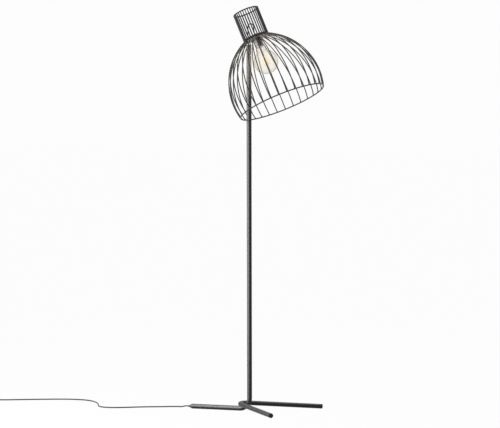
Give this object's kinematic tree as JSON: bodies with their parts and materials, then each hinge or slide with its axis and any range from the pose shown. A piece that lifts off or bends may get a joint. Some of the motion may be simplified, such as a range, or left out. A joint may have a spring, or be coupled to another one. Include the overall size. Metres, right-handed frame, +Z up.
{
  "type": "floor lamp",
  "caption": "Black tube floor lamp on a three-armed foot with a tilting wire cage shade, a clear globe bulb and a mains cord with a foot switch.",
  "frame": {"origin": "on the floor under the middle of the lamp, its cord left out", "axes": "+Z up the pole; +X the way the shade leans, with the cord leaving towards -X; the lamp is symmetric about the plane Y = 0 apart from the turn of the cage wires"},
  "size_m": [1.5821, 0.4856, 1.5634],
  "materials": {
    "stand_black": "satin powder coat",
    "shade_black": "satin powder coat",
    "zinc_steel": "zinc plated",
    "cap_plastic": "fine grain",
    "cord_black": "matt",
    "brass": "plain",
    "ceramic": "glazed ceramic",
    "bulb_cap_metal": "plain",
    "clear_glass": "clear",
    "filament_yellow": "phosphor coated"
  },
  "bodies": {
    "stand": {"pole_lower_and_leg": "stand_black", "pole_upper": "stand_black", "leg_vee": "stand_black", "vee_leg_weld": "stand_black", "pole_coupling": "zinc_steel", "pole_lug": "zinc_steel", "lug_set_screw": "zinc_steel", "switch_screws": "zinc_steel", "switch_spring": "zinc_steel", "vee_end_cap_rear": "cap_plastic", "vee_end_cap_front": "cap_plastic", "leg_cord_gland": "cap_plastic", "switch_base": "cap_plastic", "switch_cover": "cap_plastic", "switch_block": "cap_plastic", "pole_lead": "cord_black", "mains_cord": "cord_black", "cord_tail": "cord_black", "cord_coil": "cord_black", "plug_cord": "cord_black", "coil_tie": "cord_black", "switch_relief_in": "cord_black", "switch_relief_out": "cord_black", "plug_relief": "cord_black", "plug_body": "cord_black", "switch_terminals": "brass", "plug_pins": "brass"},
    "shade_head": {"shade_wires_back_left": "shade_black", "shade_wires_back_right": "shade_black", "shade_wires_front_right": "shade_black", "shade_wires_front_left": "shade_black", "shade_rim_ring": "shade_black", "collar_top_ring": "shade_black", "collar_plate": "shade_black", "hinge_bracket_left": "shade_black", "hinge_bracket_right": "shade_black", "bracket_rivets": "shade_black", "hinge_washers": "zinc_steel", "hinge_bolt": "zinc_steel", "hinge_lock_nut": "zinc_steel", "head_lead": "cord_black", "holder_nipple": "zinc_steel", "nipple_washer": "zinc_steel", "nipple_nut": "zinc_steel", "lead_bush": "cap_plastic", "holder_cup": "shade_black", "holder_core": "ceramic", "socket_shell": "brass", "socket_contact": "brass", "holder_terminals": "brass", "bulb_contact": "brass", "bulb_insulator": "ceramic", "bulb_cap": "bulb_cap_metal", "bulb_glass": "clear_glass", "bulb_stem": "clear_glass", "bulb_support": "zinc_steel", "bulb_filaments": "filament_yellow"},
    "switch_button": {"switch_button": "cap_plastic"}
  },
  "joints": [
    {"name": "shade_tilt", "type": "hinge", "parent": "stand", "child": "shade_head", "pos_m": [-0.01058, 0, 1.4425], "axis": [0, 1, 0], "range_deg": [0, 8], "deforming": ["head_lead"]},
    {"name": "switch_press", "type": "slide", "parent": "stand", "child": "switch_button", "axis": [0, 0, -1], "range_m": [0, 0.003], "stiffness_N_per_m": 500, "springref_m": -0.003, "deforming": ["switch_spring"]}
  ]
}
